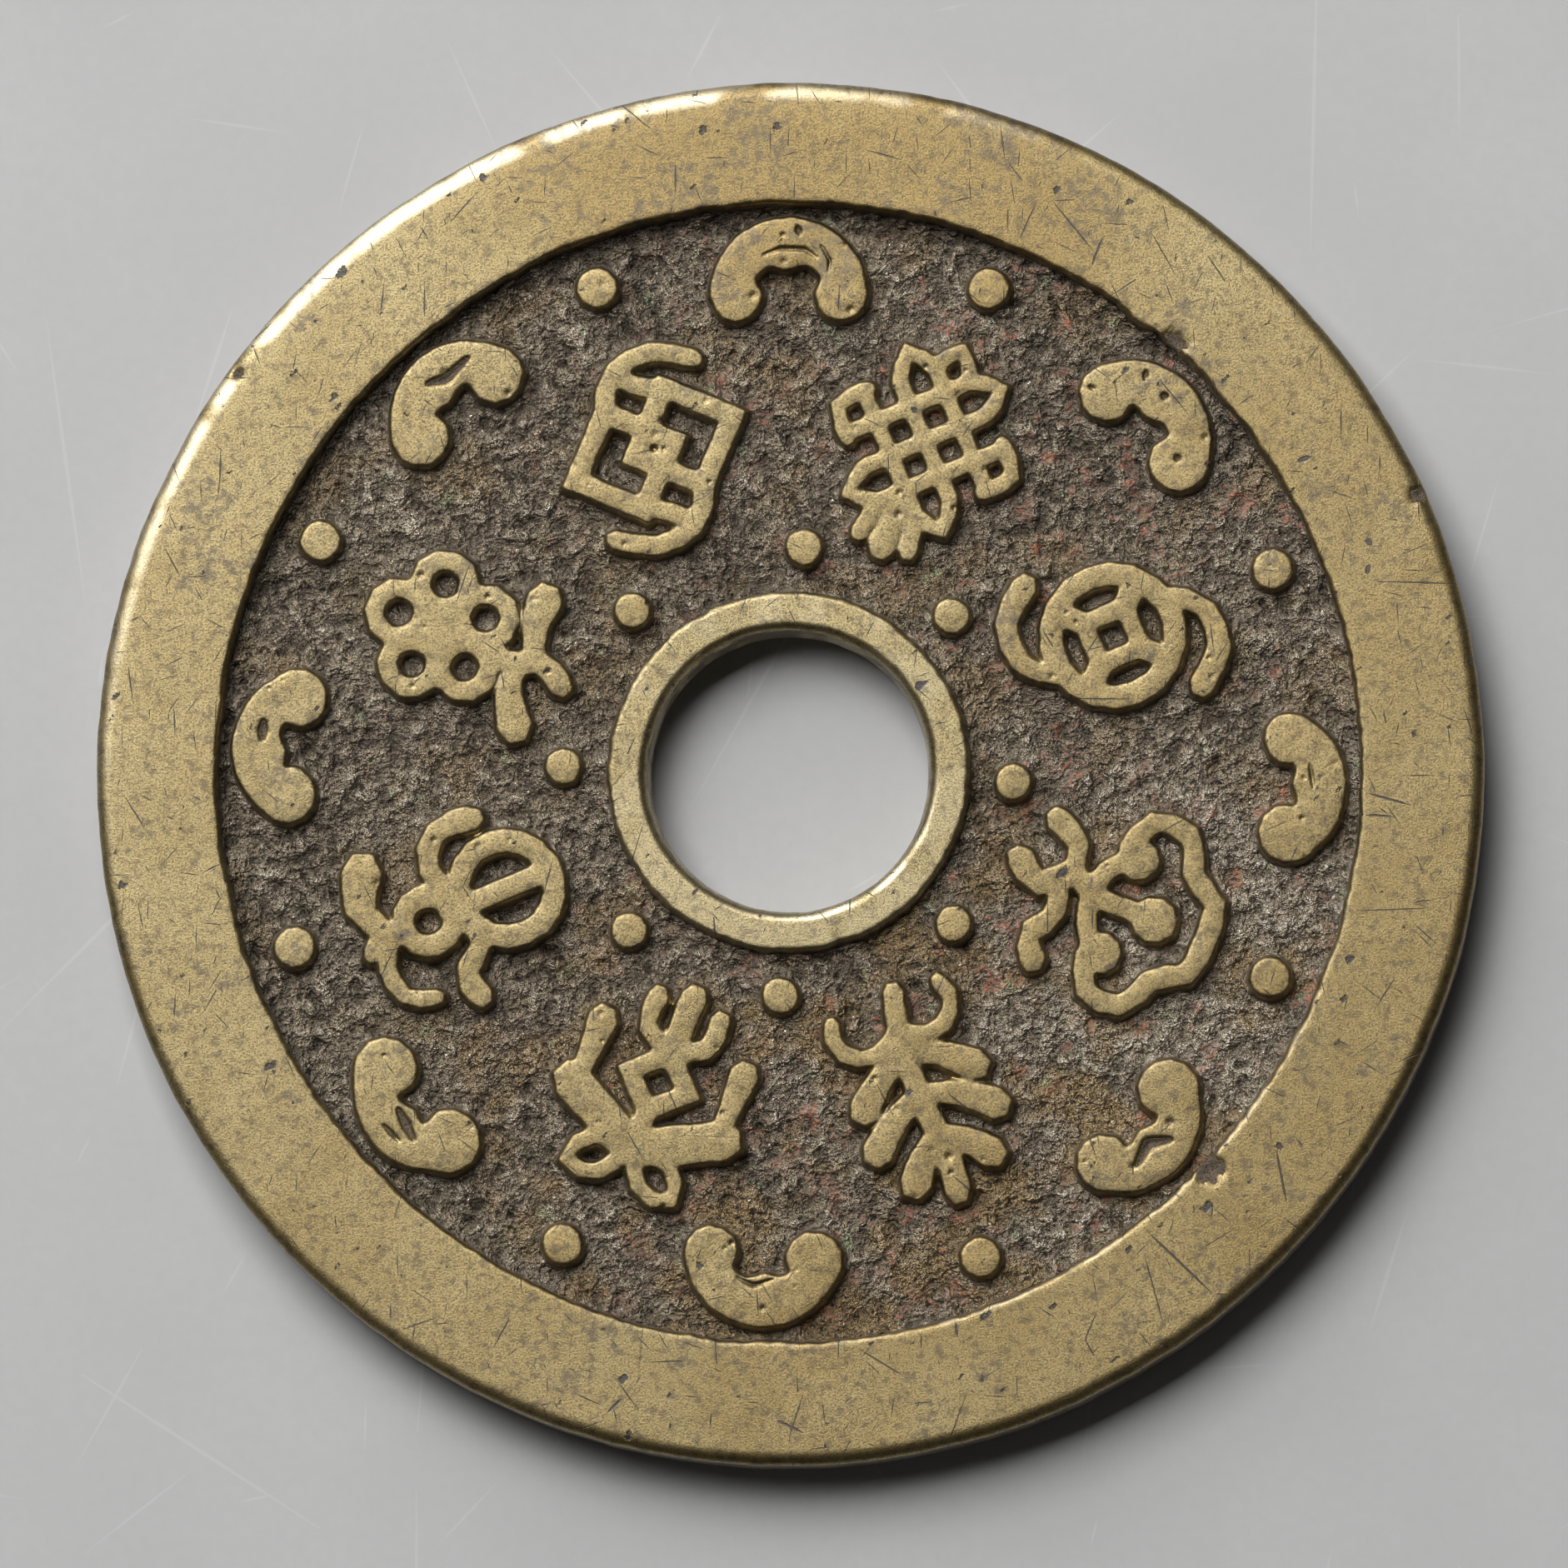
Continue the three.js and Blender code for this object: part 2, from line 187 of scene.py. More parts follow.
def at_bearing(x, y, bearing, width):
    """How near points are to a bearing from the middle, in degrees: 1 on it, falling to 0."""
    off = (np.degrees(np.arctan2(y, x)) - bearing + 180) % 360 - 180
    return np.exp(-(off / width) ** 2)


# Making pieces

# Lighter and darker patches of the brass, as layers of grain
TONE_LAYERS = [(1.0, 6.0, 1, 301), (0.6, 1.9, 1, 302), (0.5, 0.7, 2, 303)]


def new_piece(name, mesh, nodes, material):
    """A piece that stands for CAD nodes and rides on the coin's one body."""
    mesh.shade_smooth()
    mesh.materials.append(material)
    piece = bpy.data.objects.new(name, mesh)
    bpy.context.scene.collection.objects.link(piece)
    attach(piece, "root")
    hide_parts(*nodes)
    return piece


def quad_mesh(name, points, quads, fields):
    """A mesh from points in millimetres, with one number for each point in each named field."""
    mesh = bpy.data.meshes.new(name)
    mesh.vertices.add(len(points))
    mesh.vertices.foreach_set("co", (points * MM).ravel())
    mesh.loops.add(quads.size)
    mesh.loops.foreach_set("vertex_index", quads.ravel().astype(np.int32))
    mesh.polygons.add(len(quads))
    mesh.polygons.foreach_set("loop_start", np.arange(0, quads.size, 4, dtype=np.int32))
    mesh.update(calc_edges=True)
    for field, values in fields.items():
        mesh.attributes.new(field, "FLOAT", "POINT").data.foreach_set("value", values)
    return mesh


def patch_mesh(name, xs, ys, mask, heights, back, fields):
    """A closed slab: a height field over the masked cells of a grid, walled to a flat back."""
    mask = mask.copy()
    # Cells that touch only at a corner are joined, so that no wall pinches
    while True:
        a, b, c, d = mask[:-1, :-1], mask[1:, :-1], mask[:-1, 1:], mask[1:, 1:]
        crossed = (a & d & ~b & ~c) | (~a & ~d & b & c)
        if not crossed.any():
            break
        for part in (a, b, c, d):
            part |= crossed
    corner = np.arange(len(xs) * len(ys)).reshape(len(xs), len(ys))
    quads = np.stack([corner[:-1, :-1], corner[1:, :-1], corner[1:, 1:], corner[:-1, 1:]], -1)[mask]
    used, quads = np.unique(quads, return_inverse=True)
    quads = quads.reshape(-1, 4)
    grid_x, grid_y = np.meshgrid(xs, ys, indexing="ij")
    points = np.stack([grid_x.ravel(), grid_y.ravel(), heights.ravel()], -1)[used]
    mesh = quad_mesh(name, points, quads, {key: value.ravel()[used] for key, value in fields.items()})
    work = bmesh.new()
    work.from_mesh(mesh)
    rim = [edge for edge in work.edges if edge.is_boundary]
    walls = bmesh.ops.extrude_edge_only(work, edges=rim)["geom"]
    for vertex in (item for item in walls if isinstance(item, bmesh.types.BMVert)):
        vertex.co.z = back * MM
    base = [item for item in walls if isinstance(item, bmesh.types.BMEdge) and item.is_boundary]
    bmesh.ops.triangle_fill(work, edges=base, use_beauty=False)
    bmesh.ops.recalc_face_normals(work, faces=work.faces)
    work.to_mesh(mesh)
    work.free()
    return mesh


def brass_fields(worn, place, shoulder):
    """
    The numbers the brass material reads: how worn, bright, stained, scratched and polished by handling,
    where the polish also carries a painted highlight on the lit side. The tone carries painted light:
    the coin is painted brighter towards the upper left, where the lamps stand, and it is darker and
    stained at the top.
    """
    x, y = place[:, 0], place[:, 1]
    upper_left = (y - x) / OUTER
    top_side = ease_between(y, 12, 22) * ease_between(abs(x), 16, 6)
    # Painted light: the tone is raised towards the upper left, where the lamps stand
    tone_and_painted_light = 0.5 + 0.28 * layered(place, TONE_LAYERS) + 0.2 * upper_left - 0.75 * top_side
    stain = ease_between(grain(place, 3.6, 5, 311, 0.7) + 0.5 * top_side, 0.25, 0.95)
    scuff = ease_between(grain(place, 5.5, 3, 321), 0.0, 0.6)
    polish_and_highlight = shoulder.ravel() * ease_between(noise(place, 1.3, 331), -0.9, 0.1)
    return {"worn": worn, "tone_and_painted_light": np.clip(tone_and_painted_light, 0, 1), "stain": stain, "scuff": scuff, "polish_and_highlight": polish_and_highlight}


# Turned parts of the blank

def quarter_round(start, corner, end, steps):
    """Points from start to end that round off a corner."""
    turn = np.linspace(0, math.pi / 2, steps + 1)[:, None]
    return corner + (start - corner) * (1 - np.sin(turn)) + (end - corner) * (1 - np.cos(turn))


def fine_section(corners):
    """
    A closed run of points round a section. A corner is its radius and height, how far it is cut back
    on the side that comes in and the side that goes out, its steps, and the steps of the side after it.
    """
    places = [np.array(corner[:2], float) for corner in corners]
    arcs = []
    for i, (_, _, cut_in, cut_out, steps, _) in enumerate(corners):
        before = places[i - 1] - places[i]
        after = places[(i + 1) % len(places)] - places[i]
        if steps == 0:
            arcs.append(places[i][None])
            continue
        start = places[i] + before / np.linalg.norm(before) * cut_in
        end = places[i] + after / np.linalg.norm(after) * cut_out
        arcs.append(quarter_round(start, places[i], end, steps))
    run = []
    for arc, following, corner in zip(arcs, arcs[1:] + arcs[:1], corners):
        side = np.linspace(0, 1, corner[5] + 1)[1:-1, None]
        run += [arc, arc[-1] + (following[0] - arc[-1]) * side]
    return np.concatenate(run)


def turned_mesh(name, section, turns, shape):
    """
    A ring turned from a section. shape takes each point's radius, height and place, and its outward
    normal in the section, and gives the new radius and height and the fields.
    """
    ahead = np.roll(section, -1, axis=0) - np.roll(section, 1, axis=0)
    normal = np.stack([ahead[:, 1], -ahead[:, 0]], -1)
    normal /= np.linalg.norm(normal, axis=1)[:, None]
    bearing = np.linspace(0, 2 * math.pi, turns, endpoint=False)
    count = len(section)
    around = np.repeat(bearing, count)
    radius, height = np.tile(section, (turns, 1)).T
    out, up = np.tile(normal, (turns, 1)).T
    place = np.stack([radius * np.cos(around), radius * np.sin(around), height], -1)
    radius, height, fields = shape(radius, height, place, out, up)
    points = np.stack([radius * np.cos(around), radius * np.sin(around), height], -1)
    index = np.arange(turns * count).reshape(turns, count)
    after = np.roll(index, -1, axis=0)
    quads = np.stack([index, after, np.roll(after, -1, axis=1), np.roll(index, -1, axis=1)], -1)
    return quad_mesh(name, points, quads.reshape(-1, 4), fields)


# Bearings from the middle, in degrees: where edges are rubbed most, and where the inner ones are; on
# these sides the edges face the light and carry a painted highlight
RUBBED_LIT_SIDE = 125
INNER_RUBBED_LIT_SIDE = -52
HOLE_RUBBED_LIT_SIDE = -55
RAGGED_SIDE = 48

# Where the rim is chipped: x and y in millimetres, then how wide and how deep
CHIPS = [
    (15.1, -14.4, 0.34, 0.36),
    (22.68, 9.9, 0.2, 0.24),
    (-19.9, 14.5, 0.15, 0.2),
    (13.9, 15.4, 0.34, 0.2),
]

# How uneven the edges, outlines and faces are, each as layers of grain
RIM_RAGGED = [(0.055, 1.7, 3, 11), (0.035, 0.45, 2, 15)]
RIM_WOBBLE = [(0.05, 16, 1, 21), (0.03, 4, 1, 22), (0.02, 0.9, 2, 23)]
RIM_UNEVEN = [(0.014, 5, 1, 31), (0.006, 1.6, 1, 32)]
COLLAR_RAGGED = [(0.05, 1.3, 3, 61), (0.025, 0.4, 2, 63)]
BORE_UNEVEN = [(0.05, 4, 1, 71), (0.02, 0.9, 1, 72)]

# How the collar differs from the rim: polished all round, brighter and less stained
COLLAR_POLISH = 0.5
COLLAR_BRIGHTER = 0.5
COLLAR_STAIN = 0.3


def rubbed_faces(place, height, fuzz, seed):
    """Where handling has bared the brass: near the top, and near the two raised rings' underside."""
    depth = THICKNESS - height + fuzz * grain(place, 0.5, 3, seed)
    below_reverse = REVERSE_FIELD - height + 0.1 * grain(place, 0.5, 3, seed + 2)
    return np.maximum(1 - ease_between(depth, 0.12, 0.34), ease_between(below_reverse, 0.1, 0.3))


def rim_shape(radius, height, place, out, up):
    """The rim with chips, a ragged inner edge, an outline that isn't quite round, and wear, with a
    painted highlight where its edges face the light.
    """
    x, y = place[:, 0], place[:, 1]
    on_top = ease_between(height, THICKNESS / 2, THICKNESS - 0.3)
    outer_side = ease_between(radius, OUTER - 1.2, OUTER - 0.4)
    inner_side = 1 - ease_between(radius, RIM_INNER + 0.05, RIM_INNER + 0.5)
    flat = np.stack([x, y, np.zeros(len(x))], -1)
    ragged = layered(flat, RIM_RAGGED) * (1 + 1.6 * at_bearing(x, y, RAGGED_SIDE, 7))
    chips = np.zeros(len(x))
    for chip_x, chip_y, size, deep in CHIPS:
        near = ((x - chip_x) ** 2 + (y - chip_y) ** 2) / size ** 2
        chips = np.maximum(chips, deep * np.exp(-near * (1 + 0.9 * noise(flat, 0.22, 25))))
    rough_wall = 0.03 * grain(place, 0.5, 3, 41) * np.maximum(inner_side * abs(out), 0.25 * abs(out))
    lift = layered(place, RIM_UNEVEN) + rough_wall
    radius = radius + out * lift - inner_side * ragged * (0.4 + 0.6 * on_top)
    radius = radius + outer_side * layered(flat, RIM_WOBBLE)
    bow = np.clip((radius - OUTER) / CROWN_ACROSS + 1, 0, 1) ** 2
    crown = CROWN_DOWN * bow * at_bearing(x, y, RUBBED_LIT_SIDE, 80)
    height = height + up * lift - on_top * (chips + crown)
    near_top = ease_between(height, THICKNESS - 0.5, THICKNESS - 0.3)
    worn_side = 0.40 + 0.24 * noise(place, 1.2, 52) + 0.4 * near_top
    is_outer = ease_between(radius, RIM_INNER + 0.6, RIM_INNER + 1.2)
    worn = np.maximum(rubbed_faces(place, height, 0.10, 51), is_outer * worn_side)
    worn = worn * (1 - ease_between(chips, 0.03, 0.10) * on_top)
    # Painted highlight: pale bare brass on the outer bevel and the inner edge where they face the light
    shoulder = ease_between(radius, OUTER - 0.95, OUTER - 0.5) * at_bearing(x, y, RUBBED_LIT_SIDE, 65)
    inner_shoulder = 0.6 * inner_side * on_top * at_bearing(x, y, INNER_RUBBED_LIT_SIDE, 75)
    shoulder = np.maximum(shoulder, inner_shoulder)
    return radius, np.maximum(height, 0), brass_fields(worn, place, shoulder)


def collar_shape(radius, height, place, out, up):
    """The collar with a ragged foot, a bore that isn't quite round, and a polished top, with painted
    highlights where its edges face the light.
    """
    x, y = place[:, 0], place[:, 1]
    flat = np.stack([x, y, np.zeros(len(x))], -1)
    outside = ease_between(radius, COLLAR - 0.5, COLLAR - 0.1)
    in_hole = 1 - ease_between(radius, HOLE + 0.3, HOLE + 0.7)
    rough_wall = 0.03 * grain(place, 0.45, 3, 74) * np.maximum(outside, 0.4 * in_hole) * abs(out)
    lift = 0.01 * noise(place, 3, 73) + rough_wall
    radius = radius + out * lift + outside * layered(flat, COLLAR_RAGGED)
    radius = radius - in_hole * layered(flat, BORE_UNEVEN)
    height = height + up * lift
    in_bore = 1 - ease_between(radius, HOLE + 0.3, HOLE + 0.6)
    worn_bore = (0.55 + 0.3 * noise(place, 0.9, 82)) * in_bore
    worn = np.maximum(rubbed_faces(place, height, 0.08, 81), worn_bore)
    # Painted highlight: pale bare brass on the collar's edges where they face the light, over polish all
    # round
    outer_shoulder = 0.6 * outside * at_bearing(x, y, RUBBED_LIT_SIDE, 65)
    hole_shoulder = in_hole * at_bearing(x, y, HOLE_RUBBED_LIT_SIDE, 75)
    shoulder = np.maximum(np.maximum(outer_shoulder, hole_shoulder), COLLAR_POLISH)
    fields = brass_fields(worn, place, shoulder)
    fields["tone_and_painted_light"] = np.clip(fields["tone_and_painted_light"] + COLLAR_BRIGHTER, 0, 1)
    fields["stain"] = COLLAR_STAIN * fields["stain"]
    return radius, np.maximum(height, 0), fields


def make_rim(material):
    """The rim from field to field, with its hidden inner edge tucked into them."""
    hidden = [RIM_FOOT, FIELD - TUCK], [RIM_FOOT, REVERSE_FIELD + TUCK]
    section = fine_section([
        (*hidden[1], 0, 0, 0, 4),
        (RIM_INNER, 0, EDGE_ROUND, EDGE_ROUND, 3, 11),
        (OUTER, 0, LOWER_ACROSS, LOWER_UP, 6, 5),
        (OUTER, THICKNESS, OUTER_DOWN * EDGE_SHARE, OUTER_ACROSS * EDGE_SHARE, 13, 28),
        (RIM_INNER, THICKNESS, EDGE_ROUND, EDGE_ROUND, 5, 7),
        (*hidden[0], 0, 0, 0, 1),
    ])
    mesh = turned_mesh("rim", section, RIM_TURNS, rim_shape)
    new_piece("rim", mesh, [BLANK], material)


def make_collar(material):
    """The collar from the hole to the fields."""
    section = fine_section([
        (HOLE, THICKNESS / 2, 0, 0, 0, 6),
        (HOLE + HOLE_DRAFT, 0, HOLE_DOWN, HOLE_ACROSS, 5, 6),
        (COLLAR, 0, EDGE_ROUND, EDGE_ROUND, 3, 4),
        (COLLAR_FOOT, REVERSE_FIELD + TUCK, 0, 0, 0, 1),
        (COLLAR_FOOT, FIELD - TUCK, 0, 0, 0, 7),
        (COLLAR, THICKNESS, EDGE_ROUND, EDGE_ROUND, 5, 12),
        (HOLE + HOLE_DRAFT, THICKNESS, HOLE_ACROSS, HOLE_DOWN, 9, 6),
    ])
    mesh = turned_mesh("collar", section, COLLAR_TURNS, collar_shape)
    new_piece("collar", mesh, [BLANK], material)


# Outlines of the reliefs

def base_segments(node):
    """The edges of a relief's outline where it meets the field, as pairs of points in millimetres."""
    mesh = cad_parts[node].data
    points = np.round(node_points(node), 4)
    base_height = points[:, 2].min()
    mesh.calc_loop_triangles()
    seen = {}
    for triangle in mesh.loop_triangles:
        corners = [tuple(points[i]) for i in triangle.vertices]
        if max(corner[2] for corner in corners) > base_height + 0.001:
            continue
        for a, b in zip(corners, corners[1:] + corners[:1]):
            seen[a[:2], b[:2]] = True
    edges = [edge for edge in seen if edge[::-1] not in seen]
    return np.array(edges)


def signed_distance(x, y, segments):
    """How far points lie inside an outline, in millimetres, and less than 0 outside."""
    nearest = np.full(x.shape, np.inf)
    inside = np.zeros(x.shape, bool)
    for (ax, ay), (bx, by) in segments:
        dx, dy = bx - ax, by - ay
        along = np.clip(((x - ax) * dx + (y - ay) * dy) / (dx * dx + dy * dy), 0, 1)
        nearest = np.minimum(nearest, (x - ax - along * dx) ** 2 + (y - ay - along * dy) ** 2)
        if dy != 0:
            crossing = ((ay > y) != (by > y)) & (x < ax + dx * (y - ay) / dy)
            inside ^= crossing
    return np.sqrt(nearest) * np.where(inside, 1, -1)


def blurred(values, spread):
    """Values on a grid, blurred by a bell of this many cells."""
    reach = int(math.ceil(3 * spread))
    bell = np.exp(-0.5 * (np.arange(-reach, reach + 1) / spread) ** 2)
    bell /= bell.sum()
    padded = np.pad(values, reach, mode="edge")
    rows = np.apply_along_axis(np.convolve, 0, padded, bell, mode="valid")
    return np.apply_along_axis(np.convolve, 1, rows, bell, mode="valid")


# The cast field: its broad swell, its fine sand, and bumps like leather, with shallow pits
FIELD_SWELL = [(0.03, 5, 1, 101), (0.03, 1.9, 1, 102)]
FIELD_SAND = [(0.06, 0.27, 2, 121)]
LEATHER_MEAN = 0.09
PIT_DEPTH = 0.14


def field_height(points):
    """How far the cast sand surface stands above or below its plane, in millimetres."""
    leather = 0.12 * abs(noise(points, 0.95, 111)) + 0.19 * abs(noise(points @ TURN, 0.5, 112))
    pits = np.clip(-noise(points, 0.8, 131) - 0.42, 0, 1)
    swell = layered(points, FIELD_SWELL)
    return swell + leather - LEATHER_MEAN + layered(points, FIELD_SAND) - PIT_DEPTH * pits


def grid_axis(low, high, step):
    """Whole steps from at or below low to at or above high."""
    return np.arange(math.floor(low / step), math.ceil(high / step) + 1) * step


def flat_points(x, y, height):
    """Places on a level plane, one to a row."""
    return np.stack([x.ravel(), y.ravel(), np.full(x.size, float(height))], -1)


# Marks cut or struck into the cloud heads, as points in millimetres from the hole's middle,
# then how wide and how deep each mark is

CLOUD_MARKS = {
    "cloud_top": [
        ([(-0.95, 18.7), (-0.3, 18.95), (0.6, 18.92), (1.05, 18.6)], 0.07, 0.10),
        ([(0.32, 19.75), (0.42, 19.45)], 0.09, 0.12),
        ([(1.15, 19.1), (1.5, 18.5), (1.45, 18.1)], 0.05, 0.09),
    ],
    "cloud_top_left": [([(-13.07, 14.09), (-12.35, 14.27), (-11.53, 15.08)], 0.14, 0.2)],
    "cloud_left": [([(-18.93, 1.95), (-18.98, 1.2)], 0.13, 0.17)],
    "cloud_bottom_left": [
        ([(-14.06, -12.11), (-13.46, -13.28)], 0.13, 0.18),
        ([(-14.6, -12.68), (-13.97, -13.34)], 0.07, 0.10),
    ],
    "cloud_bottom": [([(-1.9, -18.2), (-1.25, -18.55), (-0.5, -18.3)], 0.07, 0.10)],
    "cloud_bottom_right": [([(12.5, -14.3), (12.92, -13.46), (13.79, -13.34)], 0.16, 0.22)],
    "cloud_right": [([(18.75, 0.2), (18.9, -0.75)], 0.06, 0.07)],
    "cloud_top_right": [
        ([(12.9, 14.45), (12.86, 14.1)], 0.08, 0.10),
        ([(13.5, 13.5), (13.62, 13.52)], 0.10, 0.14),
        ([(13.97, 11.27), (14.07, 11.25)], 0.10, 0.12),
        ([(10.85, 13.9), (11.05, 13.75)], 0.07, 0.08),
    ],
}


# Points along a bent line, and how softly it turns where it bends
LINE_STEPS = 40
LINE_SMOOTHING = 0.55


def smooth_line(points):
    """A line through few points bent into one curve, with how far along it each new point lies."""
    points = np.array(points, float)
    while len(points) < 3:
        points = np.insert(points, 1, points.mean(axis=0), axis=0)
    along = np.linspace(0, 1, LINE_STEPS)
    knots = np.linspace(0, 1, len(points))
    weights = np.exp(-((along[:, None] - knots) / (LINE_SMOOTHING / (len(points) - 1))) ** 2)
    return weights / weights.sum(axis=1)[:, None] @ points, along


def cut_depth(x, y, marks):
    """How deep the marks cut at each point. Each one thins out towards its ends."""
    depth = np.zeros(x.shape)
    for line, width, deep in marks:
        points, along = smooth_line(line)
        for (px, py), part in zip(points, along):
            full = 0.35 + 0.65 * math.sin(math.pi * part)
            near = np.hypot(x - px, y - py) / (width * full)
            depth = np.maximum(depth, deep * full * np.exp(-near ** 2))
    return depth


# Casting pits: how many to a square millimetre, and their least and largest size and depth
PITS_PER_AREA = 0.3
PIT_SIZES = (0.04, 0.13)
PIT_DEPTHS = (0.015, 0.055)


def pit_depth(x, y, seed):
    """Small casting pits scattered over a patch."""
    draw = np.random.default_rng(seed)
    low = x.min(), y.min()
    high = x.max(), y.max()
    count = int(PITS_PER_AREA * (high[0] - low[0]) * (high[1] - low[1]))
    depth = np.zeros(x.shape)
    for _ in range(count):
        px, py = draw.uniform(low, high)
        size = draw.uniform(*PIT_SIZES)
        deep = draw.uniform(*PIT_DEPTHS)
        near = ((x - px) ** 2 + (y - py) ** 2) / size ** 2
        depth = np.maximum(depth, deep * np.exp(-near))
    return depth


# A distance that counts as far from every wall
FAR = 9.0

# A relief's wall starts and ends this far outside and inside its outline, and bulges by this power
WALL_OUT = 0.12
WALL_IN = 0.07
WALL_BULGE = 2.3

# The edge of a relief's top sinks by this share of the relief's height, over this width
PILLOW = 0.045
PILLOW_REACH = 0.16

# Outside its wall the mesh of a relief drops this far below the field
FOOT_DROP = 0.2

# The grid goes on past a relief's outline, its mesh less far, and its hidden root lies below the field
RELIEF_MARGIN = 0.5
RELIEF_REACH = 0.24
RELIEF_ROOT = 0.5

# Corners of the outline are softened over this many cells of the grid
OUTLINE_BLUR = 1.3

# How far each kind of relief spreads past its solid, where wear has rolled its edge outwards.
# The empty name stands for the ornaments.
SPREAD = {"cloud": 0.12, "outer_dot": 0.08, "inner_dot": 0.0, "": 0.02}

# How uneven a relief is: its outline, its top, the field at its foot, and the edge of its worn top
RELIEF_RAGGED = [(0.035, 0.9, 2, 0), (0.018, 0.28, 2, 5)]
RELIEF_TOP = [(0.012, 1.8, 1, 9), (0.007, 0.6, 1, 10)]
RELIEF_SLACK = [(0.03, 0.4, 2, 12)]
RELIEF_FUZZ = [(0.10, 0.45, 3, 14)]


def make_relief(node, seed, material):
    """One relief: walls that rise steeply from the field and turn over into a worn flat top."""
    segments = base_segments(node)
    low, high = segments.min(axis=(0, 1)) - RELIEF_MARGIN, segments.max(axis=(0, 1)) + RELIEF_MARGIN
    xs = grid_axis(low[0], high[0], RELIEF_STEP)
    ys = grid_axis(low[1], high[1], RELIEF_STEP)
    x, y = np.meshgrid(xs, ys, indexing="ij")
    distance = blurred(signed_distance(x, y, segments), OUTLINE_BLUR)
    distance += next(extra for start, extra in SPREAD.items() if node.startswith(start))
    points = flat_points(x, y, FIELD)
    distance += layered(points, RELIEF_RAGGED, seed).reshape(x.shape)
    rise = np.clip((distance + WALL_OUT) / (WALL_OUT + WALL_IN), 0, 1)
    pillow = PILLOW * np.exp(-np.clip(distance, 0, FAR) / PILLOW_REACH) * (rise > 0.5)
    wall = 1 - (1 - rise) ** WALL_BULGE - pillow
    top = layered(points, RELIEF_TOP, seed).reshape(x.shape)
    cuts = cut_depth(x, y, CLOUD_MARKS.get(node, [])) + pit_depth(x, y, seed)
    slack = layered(points, RELIEF_SLACK, seed).reshape(x.shape) * (1 - wall)
    below = FOOT_DROP * ease_between(-distance, WALL_OUT - 0.03, WALL_OUT + 0.12)
    heights = FIELD + wall * (RELIEF + top - cuts) + slack - below
    fuzz = layered(points, RELIEF_FUZZ, seed).reshape(x.shape)
    worn = ease_between(heights - FIELD + fuzz, RELIEF * 0.2, RELIEF * 0.7)
    worn *= 1 - 0.7 * ease_between(cuts, 0.035, 0.10)
    kept = distance > -RELIEF_REACH
    mask = kept[:-1, :-1] | kept[1:, :-1] | kept[:-1, 1:] | kept[1:, 1:]
    shoulder = 0.45 * np.exp(-((distance - 0.04) / 0.12) ** 2)
    fields = brass_fields(worn, points, shoulder)
    mesh = patch_mesh(node, xs, ys, mask, heights, FIELD - RELIEF_ROOT, fields)
    new_piece(f"{node}_relief", mesh, [node], material)


# Bearings in degrees: the dusty side, the side in the rim's shade, and the side with more ochre
DUSTY_SIDE = 330
SHADED_SIDE = 122
OCHRE_SIDE = 290

# How far from walls the casting's fillet, the darkening at their feet and the rim's painted shadow reach
FILLET = 0.10
FOOT_DARKENING_REACH = 0.22
SHADE_REACH = 0.4

# Distances to a relief's outline are only worked out this near to it
OUTLINE_REACH = 0.8


def make_field(name, height, back, reliefs, seed, material):
    """The cast field between the collar and the rim, as a slab whose outer face is rough."""
    reach = RIM_FOOT + TUCK
    xs = grid_axis(-reach, reach, FIELD_STEP)
    x, y = np.meshgrid(xs, xs, indexing="ij")
    points = flat_points(x, y, height)
    bumps = field_height(points + seed).reshape(x.shape)
    radius = np.hypot(x, y)
    near = np.full(x.shape, FAR)
    for node in reliefs:
        segments = base_segments(node)
        low = segments.min(axis=(0, 1)) - OUTLINE_REACH
        high = segments.max(axis=(0, 1)) + OUTLINE_REACH
        inside = (x > low[0]) & (x < high[0]) & (y > low[1]) & (y < high[1])
        near[inside] = np.minimum(near[inside], -signed_distance(x[inside], y[inside], segments))
    wall = np.minimum(near, np.minimum(RIM_FOOT - radius, radius - COLLAR_FOOT))
    fillet = FILLET * np.exp(-np.clip(wall, 0, FAR) / FILLET) * np.sign(height - THICKNESS / 2)
    # Darker towards the feet of the walls
    foot_darkening = np.exp(-np.clip(wall, 0, FAR) / FOOT_DARKENING_REACH)
    dust = 0.26 * at_bearing(x, y, DUSTY_SIDE, 32) * ease_between(radius, 8, 13)
    from_rim = np.clip(RIM_FOOT - radius, 0, FAR)
    shade = np.exp(-from_rim / SHADE_REACH) * at_bearing(x, y, SHADED_SIDE, 60)
    # Painted glints and shade: bump tops are painted paler and valleys darker, with the rim's painted
    # shadow, the darkening at wall feet, and real dust on top
    glint_dust_and_shade = np.clip(0.45 + bumps / 0.3, 0, 1) * (1 - 0.25 * foot_darkening) * (1 - shade) - 0.3 * shade + dust
    heights = height + bumps + fillet
    inner = (radius < reach) & (radius > COLLAR_FOOT - TUCK)
    mask = inner[:-1, :-1] & inner[1:, :-1] & inner[:-1, 1:] & inner[1:, 1:]
    rust = ease_between(grain(points, 1.1, 4, 401 + seed, 0.7), 0.3, 0.9)
    rust = 0.8 * (rust * ease_between(x.ravel(), -16, 6))
    green = 0.5 * ease_between(grain(points, 1.0, 3, 411 + seed, 0.7), 0.8, 1.1)
    warm = at_bearing(x, y, OCHRE_SIDE, 60).ravel()
    ochre_spread = grain(points, 3.5, 3, 421 + seed, 0.6) + 0.35 * warm
    ochre = (0.4 + 0.35 * warm) * ease_between(ochre_spread, 0.05, 0.7)
    fields = {"glint_dust_and_shade": glint_dust_and_shade, "rust": rust, "green": green, "ochre": ochre}
    mesh = patch_mesh(name, xs, xs, mask, heights, back, fields)
    new_piece(name, mesh, [BLANK], material)


# Materials

# A width that is next to nothing, in millimetres
HAIR = 0.0001

# The thin film that handling has left over the brass
FILM = 0.8
FILM_ROUGHNESS = 0.34
FILM_IOR = 1.5


